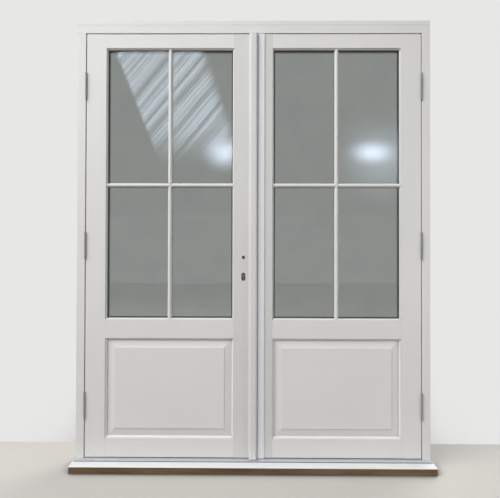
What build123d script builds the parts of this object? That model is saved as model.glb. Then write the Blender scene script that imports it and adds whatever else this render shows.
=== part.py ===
from build123d import *
import os

os.makedirs("parts", exist_ok=True)

# French doors in their frame, seen from outside along +Y, in millimetres.
# X = 0 is the middle, Y = 0 the outer face of the frame, Z = 0 the underside of the sill.

# Frame
frame_width = 1790
frame_depth = 95
frame_height = 2197
jamb_face = 41
head_face = 42
stop_width = 14
packer_height = 22
arris = 1

# Sill, its cover board and the threshold
sill_projection = 85
sill_horn = 5
sill_height = 40
nose_height = 32
nose_round = 3
cover_thickness = 4
cover_tuck = 8
drip_width = 8
drip_depth = 5
drip_setback = 14
threshold_thickness = 5
threshold_projection = 32
threshold_fall = 2.5
upstand_height = 15
upstand_thickness = 4
ramp_toe = 3

# Leaves and the gaps round them
leaf_thickness = 58
leaf_setback = 2
side_gap = 4.5
top_gap = 4.5
bottom_gap = 4
meeting_gap = 4
meeting_bevel = 2
seal_space = 2
hinge_stile_width = 100
meeting_stile_width = 95.5
top_rail_height = 71.5
mid_rail_height = 95
bottom_rail_height = 95.5
panel_opening_height = 504
tenon_thickness = 16
tenon_length = 55
tenon_shoulder = 12
mortice_spare = 2

# Mouldings, panels and glazing
moulding_width = 10
glazing_moulding_width = 7
moulding_sink = 3
moulding_depth = 13
moulding_step = 1.2
moulding_quirk = 1.5
ovolo_rise = 2.2
mitre_gap = 0.1
panel_margin = 48
panel_step = 3
panel_sink = 6
panel_play = 1.5
pane_thickness = 4
cavity = 16
glass_play = 3
block_length = 80
block_from_corner = 120
spacer_width = 7
spacer_inset = 3
bar_width = 22
bar_flat = 5
bar_depth = 13
bar_step = 1.2
bar_rise = 1.6
bar_drop = 8
inner_bar_width = 18

# Astragal on the left leaf, cover strip on the right leaf
astragal_width = 41
astragal_offset = 1.3
astragal_thickness = 22
astragal_round = 11
astragal_clearance = 0.5
cover_drop = 2
strip_gap = 2.5
strip_width = 33
strip_thickness = 5
strip_round = 2

# Hinges
hinge_height = 137
top_hinge_drop = 266
bottom_hinge_rise = 261
pin_axis_y = -4
barrel_radius = 4
pin_radius = 2.5
pin_clearance = 0.05
pin_length = 110
knuckle_gap = 0.4
plate_thickness = 2.5
plate_width = 38
plate_relief = 0.5

# Lock, its driven rods and the flush bolts
backset = 45
faceplate_thickness = 3
faceplate_width = 20
faceplate_sink = 0.4
spindle_height = 1059.5
lock_centres = 92
spindle_hole_radius = 8
spindle_square = 8
cylinder_slot_width = 20
cylinder_slot_height = 40
cylinder_slot_drop = 6.2
case_thickness = 15
case_back = 18
case_above = 45
case_below = 42
hub_radius = 10.5
hub_clearance = 0.1
profile_radius = 8.6
profile_slot = 10.4
profile_height = 33
deadbolt_length = 36
deadbolt_thickness = 12
deadbolt_height = 26
deadbolt_drop = 46
bolt_throw = 20
bolt_clearance = 0.3
rod_width = 9
rod_thickness = 7
rod_play = 0.5
rod_entry = 30
rod_setback = 1
strike_height = 120
flush_plate_length = 200
flush_bolt_radius = 4
flush_bolt_length = 130
flush_throw = 18
thumb_width = 6
thumb_height = 14
thumb_from_end = 100
flush_play = 0.5
keep_length = 58
keep_width = 24
keep_thickness = 2
keep_depth = 25

# Seals and wall fixings
seal_width = 7
seal_clearance = 0.3
seal_inset = 1.5
fixing_radius = 4
fixing_from_foot = 150
fixing_spacing = 618
fixing_count = 4
fixing_y = 31

# Sizes worked out from the values above
frame_half = frame_width / 2
foot_level = sill_height + threshold_thickness
head_top = foot_level + frame_height
head_underside = head_top - head_face
rebate_x = frame_half - jamb_face
stop_x = rebate_x - stop_width
leaf_back = leaf_setback + leaf_thickness
stop_y = leaf_back + seal_space
stop_depth = frame_depth - stop_y
leaf_middle = leaf_setback + leaf_thickness / 2
leaf_outer_x = rebate_x - side_gap
leaf_inner_x = meeting_gap / 2
leaf_bottom = foot_level + bottom_gap
leaf_top = head_underside - top_gap
leaf_height = leaf_top - leaf_bottom
opening_outer_x = leaf_outer_x - hinge_stile_width
opening_inner_x = leaf_inner_x + meeting_stile_width
opening_width = opening_outer_x - opening_inner_x
opening_x = (opening_outer_x + opening_inner_x) / 2
panel_bottom = leaf_bottom + bottom_rail_height
panel_top = panel_bottom + panel_opening_height
glazing_bottom = panel_top + mid_rail_height
glazing_top = leaf_top - top_rail_height
glazing_height = glazing_top - glazing_bottom
glazing_middle = (glazing_bottom + glazing_top) / 2
bar_z = glazing_middle - bar_drop
moulding_front = leaf_setback + moulding_sink
moulding_back = leaf_back - moulding_sink
rim_depth = moulding_sink + moulding_depth
unit_front = leaf_setback + rim_depth
unit_back = unit_front + 2 * pane_thickness + cavity
bead_depth = moulding_back - unit_back
hinge_axis_x = leaf_outer_x + side_gap / 2
top_hinge_z = leaf_top - top_hinge_drop
bottom_hinge_z = leaf_bottom + bottom_hinge_rise
hinge_levels = (bottom_hinge_z, (bottom_hinge_z + top_hinge_z) / 2, top_hinge_z)
bevel_at_middle = meeting_bevel * (faceplate_width / 2 + leaf_thickness / 2) / leaf_thickness
faceplate_front = leaf_inner_x + bevel_at_middle + faceplate_sink
faceplate_back = faceplate_front + faceplate_thickness
spindle_x = faceplate_front + backset
cylinder_z = spindle_height - lock_centres
deadbolt_z = spindle_height - deadbolt_drop
groove_width = rod_width + 2 * rod_play
groove_depth = rod_thickness + 2 * rod_play
rod_x = faceplate_back + groove_depth / 2
case_bottom = cylinder_z - case_below
case_top = spindle_height + case_above
case_end_x = spindle_x + case_back
cover_bottom = leaf_bottom - cover_drop
astragal_edge_x = astragal_offset + astragal_width / 2
strip_x = astragal_edge_x + strip_gap
flush_hole = 2 * (flush_bolt_radius + flush_play)
flush_bolt_x = faceplate_back + flush_hole / 2
plate_back = leaf_setback + plate_width

# Left and right as the factor on X, and the two halves of a hinge
LEFT = -1
RIGHT = 1
LEAF_HALF = -1
FRAME_HALF = 1
HAIRLINE = mitre_gap / 2


def finish(piece, name):
    piece.part.label = name
    export_step(piece.part, f"parts/{name}.step")


def slab(x_span, y_span, z_span, mode=Mode.ADD):
    spans = [sorted(span) for span in (x_span, y_span, z_span)]
    with Locations(tuple((low + high) / 2 for low, high in spans)):
        Box(*(high - low for low, high in spans), mode=mode)


def around(middle, size):
    return (middle - size / 2, middle + size / 2)


def sided(side, first, second):
    return (side * first, side * second)


def cover_height(y):
    fall = (sill_height - nose_height - cover_thickness) / (sill_projection - cover_tuck)
    return sill_height + fall * (y + cover_tuck)


# Sill, cover board and threshold


def keep_positions():
    return ((LEFT * rod_x, groove_depth, groove_width), (RIGHT * flush_bolt_x, flush_hole, flush_hole))


def keep_holes(bottom, top):
    for x, size_x, size_y in keep_positions():
        slab(around(x, size_x), around(leaf_middle, size_y), (bottom, top), mode=Mode.SUBTRACT)


def keep_recess(bottom):
    slab(
        around(0, keep_length),
        around(leaf_middle, keep_width),
        (bottom, bottom + keep_thickness),
        mode=Mode.SUBTRACT,
    )


def build_sill():
    groove_front = -sill_projection + drip_setback
    with BuildPart() as sill:
        with BuildSketch(Plane.YZ):
            with BuildLine():
                Polyline(
                    (-sill_projection, 0),
                    (-sill_projection, nose_height),
                    (-cover_tuck, sill_height - cover_thickness),
                    (-cover_tuck, sill_height),
                    (frame_depth, sill_height),
                    (frame_depth, 0),
                    (groove_front + drip_width, 0),
                    (groove_front + drip_width, drip_depth),
                    (groove_front, drip_depth),
                    (groove_front, 0),
                    close=True,
                )
            make_face()
        extrude(amount=frame_half + sill_horn, both=True)
        keep_holes(foot_level - keep_depth, sill_height)
    finish(sill, "sill")

    with BuildPart() as cover:
        with BuildSketch(Plane.YZ):
            with BuildLine():
                Polyline(
                    (-sill_projection, nose_height),
                    (-sill_projection, nose_height + cover_thickness),
                    (-cover_tuck, sill_height),
                    (-cover_tuck, sill_height - cover_thickness),
                    close=True,
                )
            make_face()
        extrude(amount=frame_half + sill_horn, both=True)
        nose = cover.edges().filter_by(Axis.X).group_by(Axis.Y)[0].sort_by(Axis.Z)[-1]
        fillet(nose, nose_round)
    finish(cover, "sill_cover")


def build_threshold():
    upstand_back = stop_y + upstand_thickness
    with BuildPart() as threshold:
        with BuildSketch(Plane.YZ):
            with BuildLine():
                Polyline(
                    (-threshold_projection, cover_height(-threshold_projection)),
                    (-threshold_projection, foot_level - threshold_fall),
                    (0, foot_level),
                    (frame_depth, foot_level),
                    (frame_depth, sill_height),
                    (-cover_tuck, sill_height),
                    close=True,
                )
            make_face()
        extrude(amount=frame_half, both=True)
        with BuildSketch(Plane.YZ):
            with BuildLine():
                Polyline(
                    (stop_y, foot_level),
                    (stop_y, foot_level + upstand_height),
                    (upstand_back, foot_level + upstand_height),
                    (upstand_back + ramp_toe, foot_level + ramp_toe),
                    (frame_depth, foot_level),
                    close=True,
                )
            make_face()
        extrude(amount=stop_x, both=True)
        keep_recess(foot_level - keep_thickness)
        keep_holes(sill_height, foot_level)
    finish(threshold, "threshold")


# Frame


def hinge_recesses(side, half):
    embedded = side * (hinge_axis_x + half * barrel_radius)
    for level in hinge_levels:
        slab(
            (embedded, side * hinge_axis_x),
            (pin_axis_y, plate_back),
            around(level, hinge_height),
            mode=Mode.SUBTRACT,
        )


def fixing_holes(side):
    levels = [foot_level + fixing_from_foot + step * fixing_spacing for step in range(fixing_count)]
    planes = [Plane(origin=(side * rebate_x, fixing_y, level), z_dir=(side, 0, 0)) for level in levels]
    inward = (Align.CENTER, Align.CENTER, Align.MIN)
    with Locations(*planes):
        Cylinder(fixing_radius, jamb_face, align=inward, mode=Mode.SUBTRACT)


def build_jamb(side, name):
    with BuildPart() as jamb:
        with BuildSketch(Plane.XY.offset(foot_level)):
            with BuildLine():
                Polyline(
                    (side * frame_half, 0),
                    (side * rebate_x, 0),
                    (side * rebate_x, stop_y),
                    (side * stop_x, stop_y),
                    (side * stop_x, frame_depth),
                    (side * frame_half, frame_depth),
                    close=True,
                )
            make_face()
        extrude(amount=head_underside - foot_level)
        chamfer(jamb.edges().filter_by(Axis.Z).group_by(Axis.Y)[0], arris)
        hinge_recesses(side, FRAME_HALF)
        fixing_holes(side)
    finish(jamb, name)


def build_head():
    with BuildPart() as head:
        with BuildSketch(Plane.YZ):
            with Locations((frame_depth / 2, (head_top + head_underside) / 2)):
                Rectangle(frame_depth, head_face)
        extrude(amount=frame_half, both=True)
        chamfer(head.edges().filter_by(Axis.X).group_by(Axis.Y)[0].sort_by(Axis.Z)[0], arris)
        with BuildSketch(Plane.YZ):
            with Locations((frame_depth - stop_depth / 2, head_underside - stop_width / 2)):
                Rectangle(stop_depth, stop_width)
        extrude(amount=stop_x, both=True)
        keep_recess(head_underside)
        keep_holes(head_underside, head_underside + keep_depth)
    finish(head, "frame_head")

    with BuildPart() as packer:
        with BuildSketch(Plane.YZ):
            with Locations((frame_depth / 2, head_top + packer_height / 2)):
                Rectangle(frame_depth, packer_height)
        extrude(amount=frame_half, both=True)
        chamfer(packer.edges().filter_by(Axis.X).group_by(Axis.Y)[0], arris / 2)
    finish(packer, "head_packer")


def build_keeps():
    with BuildPart() as keeps:
        for bottom in (foot_level - keep_thickness, head_underside):
            span = (bottom, bottom + keep_thickness)
            slab(around(0, keep_length), around(leaf_middle, keep_width), span)
            keep_holes(*span)
    finish(keeps, "bolt_keeps")


def build_seals():
    seal_span = (leaf_back + seal_clearance, stop_y)
    head_seal = head_underside - stop_width + seal_inset
    with BuildPart() as seals:
        for side in (LEFT, RIGHT):
            across = sided(side, stop_x + seal_inset, stop_x + seal_inset + seal_width)
            slab(across, seal_span, (foot_level, head_underside))
        reach = stop_x + seal_inset - mitre_gap
        slab((-reach, reach), seal_span, (head_seal, head_seal + seal_width))
        sill_seal = foot_level + upstand_height - seal_inset
        reach = stop_x - mitre_gap
        slab((-reach, reach), seal_span, (sill_seal - seal_width, sill_seal))
    finish(seals, "frame_seals")


# Hinges: the frame half carries the pin in its lower knuckle and the leaf half lifts off it


def build_hinge_plates(side, half, name):
    on_frame = half == FRAME_HALF
    embedded = side * (hinge_axis_x + half * barrel_radius)
    open_face = side * (hinge_axis_x + half * (barrel_radius - plate_thickness))
    plate_front = pin_axis_y + barrel_radius + plate_relief
    bore = pin_radius if on_frame else pin_radius + pin_clearance
    bore_length = pin_length if on_frame else pin_length + 2 * knuckle_gap
    with BuildPart() as plates:
        for level in hinge_levels:
            bottom = level - hinge_height / 2
            top = level + hinge_height / 2
            low = bottom if on_frame else level + knuckle_gap / 2
            high = level - knuckle_gap / 2 if on_frame else top
            slab((embedded, open_face), (plate_front, plate_back), (bottom, top))
            slab((embedded, open_face), (pin_axis_y, plate_front), (low, high))
            with BuildSketch(Plane.XY.offset(low)):
                with Locations((side * hinge_axis_x, pin_axis_y)):
                    Circle(barrel_radius)
            extrude(amount=high - low)
            with Locations((side * hinge_axis_x, pin_axis_y, level)):
                Cylinder(bore, bore_length, mode=Mode.SUBTRACT)
    finish(plates, name)


def build_hinge_pins():
    with BuildPart() as pins:
        for side in (LEFT, RIGHT):
            for level in hinge_levels:
                with Locations((side * hinge_axis_x, pin_axis_y, level)):
                    Cylinder(pin_radius, pin_length)
    finish(pins, "hinge_pins")


# Leaf frame


def rail_spans():
    return {
        "bottom_rail": (leaf_bottom, panel_bottom),
        "mid_rail": (panel_top, glazing_bottom),
        "top_rail": (glazing_top, leaf_top),
    }


def mortices(side, edge_x, inward):
    reach = edge_x + inward * (tenon_length + mortice_spare)
    for low, high in rail_spans().values():
        slab(
            sided(side, edge_x, reach),
            around(leaf_middle, tenon_thickness),
            (low + tenon_shoulder, high - tenon_shoulder),
            mode=Mode.SUBTRACT,
        )


def outward_edges(piece):
    return sorted(piece.edges().filter_by(Axis.Z), key=lambda edge: abs(edge.center().X))


def build_rail(side, name, low, high):
    size = high - low
    with BuildPart() as rail:
        with BuildSketch(Plane.YZ.offset(side * opening_x)):
            with Locations((leaf_middle, (low + high) / 2)):
                Rectangle(leaf_thickness, size)
        extrude(amount=opening_width / 2, both=True)
        chamfer(rail.edges().filter_by(Axis.X), arris)
        with BuildSketch(Plane.YZ.offset(side * opening_x)):
            with Locations((leaf_middle, (low + high) / 2)):
                Rectangle(tenon_thickness, size - 2 * tenon_shoulder)
        extrude(amount=opening_width / 2 + tenon_length, both=True)
    finish(rail, name)


def build_hinge_stile(side, name):
    with BuildPart() as stile:
        with BuildSketch(Plane.XY.offset(leaf_bottom)):
            with Locations((side * (leaf_outer_x - hinge_stile_width / 2), leaf_middle)):
                Rectangle(hinge_stile_width, leaf_thickness)
        extrude(amount=leaf_height)
        chamfer(outward_edges(stile)[-2:], arris)
        mortices(side, opening_outer_x, 1)
        hinge_recesses(side, LEAF_HALF)
    finish(stile, name)


def meeting_section(side):
    with BuildSketch(Plane.XY.offset(leaf_bottom)) as section:
        with BuildLine():
            Polyline(
                (side * leaf_inner_x, leaf_setback),
                (side * opening_inner_x, leaf_setback),
                (side * opening_inner_x, leaf_back),
                (side * (leaf_inner_x + meeting_bevel), leaf_back),
                close=True,
            )
        make_face()
    return section.sketch


def edge_groove(side, back_x, width, z_span):
    slab(sided(side, 0, back_x), around(leaf_middle, width), z_span, mode=Mode.SUBTRACT)


def build_lock_stile(side, name):
    with BuildPart() as stile:
        extrude(meeting_section(side), amount=leaf_height)
        chamfer(outward_edges(stile)[:2], arris)
        mortices(side, opening_inner_x, -1)
        edge_groove(side, faceplate_back, faceplate_width, (leaf_bottom, leaf_top))
        edge_groove(side, faceplate_back + groove_depth, groove_width, (leaf_bottom, leaf_top))
        edge_groove(side, case_end_x, case_thickness, (case_bottom, case_top))
        with BuildSketch(Plane.XZ.offset(-leaf_setback)):
            with Locations((side * spindle_x, spindle_height)):
                Circle(spindle_hole_radius)
            with Locations((side * spindle_x, cylinder_z - cylinder_slot_drop)):
                SlotOverall(cylinder_slot_height, cylinder_slot_width, rotation=90)
        extrude(amount=-leaf_thickness, mode=Mode.SUBTRACT)
    finish(stile, name)


def build_slave_stile(side, name):
    pocket_width = deadbolt_thickness + 2 * bolt_clearance
    pocket_span = around(deadbolt_z, deadbolt_height + 2 * bolt_clearance)
    with BuildPart() as stile:
        extrude(meeting_section(side), amount=leaf_height)
        chamfer(outward_edges(stile)[:2], arris)
        mortices(side, opening_inner_x, -1)
        edge_groove(side, faceplate_back, faceplate_width, around(deadbolt_z, strike_height))
        edge_groove(side, faceplate_back + bolt_throw, pocket_width, pocket_span)
        for span in flush_spans():
            edge_groove(side, faceplate_back, faceplate_width, span)
            edge_groove(side, faceplate_back + flush_hole, flush_hole, span)
    finish(stile, name)


# Mouldings, beads, glazing bars, panels and glass


def mitred_length(length, width, depth):
    half = length / 2 - HAIRLINE
    with BuildPart() as piece:
        with BuildSketch(Plane.YZ):
            with BuildLine():
                Polyline((depth, 0), (0, 0), (0, moulding_step), (moulding_quirk, moulding_step))
                SagittaArc((moulding_quirk, moulding_step), (depth - moulding_quirk, width), ovolo_rise)
                Polyline((depth - moulding_quirk, width), (depth, width), (depth, 0))
            make_face()
        extrude(amount=length / 2, both=True)
        with BuildSketch(Plane.XZ):
            with BuildLine():
                Polyline((-half, 0), (half, 0), (half - width, width), (width - half, width), close=True)
            make_face()
        extrude(amount=depth, both=True, mode=Mode.INTERSECT)
    return piece.part


def mitred_ring(side, low, high, face_y, facing, width, depth):
    height = high - low
    middle = (side * opening_x, face_y, (low + high) / 2)
    turn = 0 if facing < 0 else 180
    across = mitred_length(opening_width, width, depth).moved(Location((0, 0, -height / 2)))
    upright = mitred_length(height, width, depth).moved(Location((0, 0, -opening_width / 2)))
    for angle, length in ((0, across), (90, upright), (180, across), (270, upright)):
        with Locations(Location(middle, (0, angle, turn))):
            add(length)


def build_glazing_frame(side, name, face_y, facing, depth):
    with BuildPart() as ring:
        mitred_ring(side, glazing_bottom, glazing_top, face_y, facing, glazing_moulding_width, depth)
    finish(ring, name)
    return ring.part


def build_panel_mouldings(side, name):
    with BuildPart() as mouldings:
        for face_y, facing in ((moulding_front, -1), (moulding_back, 1)):
            mitred_ring(side, panel_bottom, panel_top, face_y, facing, moulding_width, moulding_depth)
    finish(mouldings, name)


def bar_length(length, width, depth, spare=0):
    flat = bar_flat / 2 + spare
    half = width / 2 + spare
    with BuildPart() as piece:
        with BuildSketch(Plane.XY):
            with BuildLine():
                Polyline((0, depth), (0, 0), (flat, 0), (flat, bar_step))
                SagittaArc((flat, bar_step), (half, depth - bar_step), -bar_rise)
                Polyline((half, depth - bar_step), (half, depth), (0, depth))
            make_face()
            mirror(about=Plane.YZ)
        extrude(amount=length / 2, both=True)
    return piece.part


def build_bars(side, name, face_y, facing, width, depth, ring):
    turn = 0 if facing < 0 else 180
    with BuildPart() as bars:
        with Locations(Location((side * opening_x, face_y, bar_z), (0, 90, turn))):
            add(bar_length(opening_width, width, depth))
        with Locations(Location((side * opening_x, face_y, glazing_middle), (0, 0, turn))):
            add(bar_length(glazing_height, width, depth, spare=HAIRLINE), mode=Mode.SUBTRACT)
            add(bar_length(glazing_height, width, depth))
        add(ring, mode=Mode.SUBTRACT)
    finish(bars, name)


def opening_rectangle(side, y, low, high, inset):
    with BuildSketch(Plane.XZ.offset(-y)) as outline:
        with Locations((side * opening_x, (low + high) / 2)):
            Rectangle(opening_width - 2 * inset, high - low - 2 * inset)
    return outline.sketch


def build_panel(side, name):
    front_rim = leaf_setback + rim_depth
    back_rim = leaf_back - rim_depth
    slope_rise = rim_depth - panel_sink - panel_step
    with BuildPart() as panel:
        rim_outline = opening_rectangle(side, front_rim, panel_bottom, panel_top, panel_play)
        extrude(rim_outline, amount=front_rim - back_rim)
        for rim, outward in ((front_rim, -1), (back_rim, 1)):
            field_y = rim + outward * slope_rise
            margin = opening_rectangle(side, rim, panel_bottom, panel_top, moulding_width)
            field = opening_rectangle(side, field_y, panel_bottom, panel_top, panel_margin)
            loft([margin, field])
            extrude(field, amount=-outward * panel_step)
    finish(panel, name)


def build_pane(side, name, front):
    with BuildPart() as pane:
        outline = opening_rectangle(side, front, glazing_bottom, glazing_top, glass_play)
        extrude(outline, amount=-pane_thickness)
    finish(pane, name)


def build_spacer(side, name):
    front = unit_front + pane_thickness
    inset = glass_play + spacer_inset
    hole = 2 * (inset + spacer_width)
    with BuildPart() as spacer:
        with BuildSketch(Plane.XZ.offset(-front)):
            with Locations((side * opening_x, glazing_middle)):
                Rectangle(opening_width - 2 * inset, glazing_height - 2 * inset)
                Rectangle(opening_width - hole, glazing_height - hole, mode=Mode.SUBTRACT)
                Rectangle(inner_bar_width, glazing_height - hole)
            with Locations((side * opening_x, bar_z)):
                Rectangle(opening_width - hole, inner_bar_width)
        extrude(amount=-cavity)
    finish(spacer, name)


def build_glazing_blocks(side, name):
    block_x = opening_width / 2 - block_from_corner
    with BuildPart() as blocks:
        for bottom in (glazing_bottom, glazing_top - glass_play):
            for step in (LEFT, RIGHT):
                across = around(side * opening_x + step * block_x, block_length)
                slab(across, (unit_front, unit_back), (bottom, bottom + glass_play))
    finish(blocks, name)


def build_leaf(side, leaf):
    hinge_name = f"{leaf}_hinge_stile"
    build_hinge_stile(side, hinge_name)
    for rail_name, (low, high) in rail_spans().items():
        build_rail(side, f"{leaf}_{rail_name}", low, high)
    build_panel(side, f"{leaf}_panel")
    build_panel_mouldings(side, f"{leaf}_panel_mouldings")
    build_pane(side, f"{leaf}_outer_pane", unit_front)
    build_pane(side, f"{leaf}_inner_pane", unit_back - pane_thickness)
    build_spacer(side, f"{leaf}_glass_spacer")
    build_glazing_blocks(side, f"{leaf}_glazing_blocks")
    outer_ring = build_glazing_frame(side, f"{leaf}_glazing_moulding", moulding_front, -1, moulding_depth)
    inner_ring = build_glazing_frame(side, f"{leaf}_glazing_beads", moulding_back, 1, bead_depth)
    outer_face = unit_front - bar_depth
    inner_face = unit_back + bar_depth
    build_bars(side, f"{leaf}_outer_bars", outer_face, -1, bar_width, bar_depth, outer_ring)
    build_bars(side, f"{leaf}_inner_bars", inner_face, 1, inner_bar_width, bar_depth, inner_ring)
    build_hinge_plates(side, LEAF_HALF, f"{leaf}_hinge_plates")


# Astragal and cover strip


def build_astragal():
    left = astragal_offset - astragal_width / 2
    face_y = leaf_setback - astragal_thickness
    overlap_y = leaf_setback - astragal_clearance
    with BuildPart() as astragal:
        with BuildSketch(Plane.XY.offset(cover_bottom)):
            with BuildLine():
                Polyline(
                    (left, face_y),
                    (astragal_edge_x, face_y),
                    (astragal_edge_x, overlap_y),
                    (-leaf_inner_x, overlap_y),
                    (-leaf_inner_x, leaf_setback),
                    (left, leaf_setback),
                    close=True,
                )
            make_face()
        extrude(amount=leaf_top - cover_bottom)
        fillet(astragal.edges().filter_by(Axis.Z).group_by(Axis.Y)[0], astragal_round)
    finish(astragal, "astragal")


def build_cover_strip():
    with BuildPart() as strip:
        with BuildSketch(Plane.XY.offset(cover_bottom)):
            with Locations((strip_x + strip_width / 2, leaf_setback - strip_thickness / 2)):
                Rectangle(strip_width, strip_thickness)
        extrude(amount=leaf_top - cover_bottom)
        fillet(strip.edges().filter_by(Axis.Z).group_by(Axis.Y)[0], strip_round)
    finish(strip, "meeting_strip")


# Lock on the left leaf


def build_lock_case(side):
    inside = faceplate_back + groove_depth
    slot_foot = cylinder_z + profile_radius - profile_height + profile_slot / 2
    case_across = sided(side, faceplate_back, case_end_x)
    rod_across = sided(side, faceplate_back, inside)
    with BuildPart() as case:
        slab(case_across, around(leaf_middle, case_thickness), (case_bottom, case_top))
        for span in ((case_bottom, case_bottom + rod_entry), (case_top - rod_entry, case_top)):
            slab(rod_across, around(leaf_middle, groove_width), span, mode=Mode.SUBTRACT)
        slab(
            sided(side, faceplate_back, faceplate_front + deadbolt_length + 2 * bolt_clearance),
            around(leaf_middle, deadbolt_thickness + 2 * bolt_clearance),
            around(deadbolt_z, deadbolt_height + 2 * bolt_clearance),
            mode=Mode.SUBTRACT,
        )
        with BuildSketch(Plane.XZ.offset(-leaf_middle)):
            with Locations((side * spindle_x, spindle_height)):
                Circle(hub_radius + hub_clearance)
            with Locations((side * spindle_x, cylinder_z)):
                Circle(profile_radius)
            with Locations((side * spindle_x, (cylinder_z + slot_foot) / 2)):
                Rectangle(profile_slot, cylinder_z - slot_foot)
            with Locations((side * spindle_x, slot_foot)):
                Circle(profile_slot / 2)
        extrude(amount=case_thickness, both=True, mode=Mode.SUBTRACT)
    finish(case, "lock_case")


def build_lock_faceplate(side):
    with BuildPart() as plate:
        slab(
            sided(side, faceplate_front, faceplate_back),
            around(leaf_middle, faceplate_width),
            (leaf_bottom, leaf_top),
        )
        slab(
            sided(side, faceplate_front, faceplate_back),
            around(leaf_middle, deadbolt_thickness + 2 * bolt_clearance),
            around(deadbolt_z, deadbolt_height + 2 * bolt_clearance),
            mode=Mode.SUBTRACT,
        )
    finish(plate, "lock_faceplate")


def build_deadbolt(side):
    with BuildPart() as bolt:
        slab(
            sided(side, faceplate_front, faceplate_front + deadbolt_length),
            around(leaf_middle, deadbolt_thickness),
            around(deadbolt_z, deadbolt_height),
        )
    finish(bolt, "deadbolt")


def build_spindle_hub(side):
    with BuildPart() as hub:
        with BuildSketch(Plane.XZ.offset(-leaf_middle)):
            with Locations((side * spindle_x, spindle_height)):
                Circle(hub_radius)
                Rectangle(spindle_square, spindle_square, mode=Mode.SUBTRACT)
        extrude(amount=case_thickness / 2, both=True)
    finish(hub, "spindle_hub")


def build_rods(side):
    spans = {
        "top_shoot_rod": (case_top - rod_entry, leaf_top - rod_setback),
        "bottom_shoot_rod": (leaf_bottom + rod_setback, case_bottom + rod_entry),
    }
    for name, span in spans.items():
        with BuildPart() as rod:
            slab(around(side * rod_x, rod_thickness), around(leaf_middle, rod_width), span)
        finish(rod, name)


# Strike and flush bolts on the right leaf


def flush_spans():
    return ((leaf_bottom, leaf_bottom + flush_plate_length), (leaf_top - flush_plate_length, leaf_top))


def thumb_slot_span(span, upward):
    thumb_z = span[1] - thumb_from_end if upward else span[0] + thumb_from_end
    travel = flush_throw + bolt_clearance if upward else -flush_throw - bolt_clearance
    ends = (thumb_z - thumb_height / 2, thumb_z + thumb_height / 2)
    low = min(ends[0], ends[0] + travel) - bolt_clearance
    high = max(ends[1], ends[1] + travel) + bolt_clearance
    return low, high


def build_strike(side):
    with BuildPart() as strike:
        slab(
            sided(side, faceplate_front, faceplate_back),
            around(leaf_middle, faceplate_width),
            around(deadbolt_z, strike_height),
        )
        slab(
            sided(side, faceplate_front, faceplate_back),
            around(leaf_middle, deadbolt_thickness + 2 * bolt_clearance),
            around(deadbolt_z, deadbolt_height + 2 * bolt_clearance),
            mode=Mode.SUBTRACT,
        )
    finish(strike, "strike_plate")


def build_flush_bolts(side):
    with BuildPart() as plates:
        for span, upward in zip(flush_spans(), (False, True)):
            slab(sided(side, faceplate_front, faceplate_back), around(leaf_middle, faceplate_width), span)
            slab(
                sided(side, faceplate_front, faceplate_back),
                around(leaf_middle, thumb_width + 2 * bolt_clearance),
                thumb_slot_span(span, upward),
                mode=Mode.SUBTRACT,
            )
    finish(plates, "flush_bolt_plates")

    for name, span, upward in zip(("bottom_flush_bolt", "top_flush_bolt"), flush_spans(), (False, True)):
        tip = span[1] - rod_setback if upward else span[0] + rod_setback
        low = tip - flush_bolt_length if upward else tip
        thumb_z = span[1] - thumb_from_end if upward else span[0] + thumb_from_end
        with BuildPart() as bolt:
            with BuildSketch(Plane.XY.offset(low)):
                with Locations((side * flush_bolt_x, leaf_middle)):
                    Circle(flush_bolt_radius)
            extrude(amount=flush_bolt_length)
            slab(
                sided(side, faceplate_front, flush_bolt_x),
                around(leaf_middle, thumb_width),
                around(thumb_z, thumb_height),
            )
        finish(bolt, name)


build_sill()
build_threshold()
build_jamb(LEFT, "left_jamb")
build_jamb(RIGHT, "right_jamb")
build_head()
build_keeps()
build_seals()
build_hinge_plates(LEFT, FRAME_HALF, "left_jamb_hinge_plates")
build_hinge_plates(RIGHT, FRAME_HALF, "right_jamb_hinge_plates")
build_hinge_pins()

build_leaf(LEFT, "active")
build_lock_stile(LEFT, "active_meeting_stile")
build_astragal()
build_lock_case(LEFT)
build_lock_faceplate(LEFT)
build_deadbolt(LEFT)
build_spindle_hub(LEFT)
build_rods(LEFT)

build_leaf(RIGHT, "passive")
build_slave_stile(RIGHT, "passive_meeting_stile")
build_cover_strip()
build_strike(RIGHT)
build_flush_bolts(RIGHT)
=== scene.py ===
import math

import bmesh
import bpy
from mathutils import Matrix, Vector


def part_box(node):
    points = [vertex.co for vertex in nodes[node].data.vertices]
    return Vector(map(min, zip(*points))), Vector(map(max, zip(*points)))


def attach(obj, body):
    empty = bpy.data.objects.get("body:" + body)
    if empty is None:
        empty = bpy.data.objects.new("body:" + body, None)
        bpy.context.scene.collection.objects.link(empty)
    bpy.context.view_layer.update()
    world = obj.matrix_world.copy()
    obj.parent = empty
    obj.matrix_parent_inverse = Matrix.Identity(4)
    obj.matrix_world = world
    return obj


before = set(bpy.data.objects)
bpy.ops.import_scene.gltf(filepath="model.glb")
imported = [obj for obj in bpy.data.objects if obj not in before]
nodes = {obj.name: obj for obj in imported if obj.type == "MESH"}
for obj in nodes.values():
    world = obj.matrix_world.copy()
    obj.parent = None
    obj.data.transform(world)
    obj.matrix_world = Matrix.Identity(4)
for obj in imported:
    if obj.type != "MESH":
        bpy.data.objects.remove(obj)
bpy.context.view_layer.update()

# Lengths are in metres and colours are linear, unless a heading says otherwise.
# A noise is its scale, its detail and, where it isn't the usual one, its roughness.
# A ramp is the two inputs it runs between and what it gives at each, or else 0 and 1.
# A bump is its strength and its height.

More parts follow.
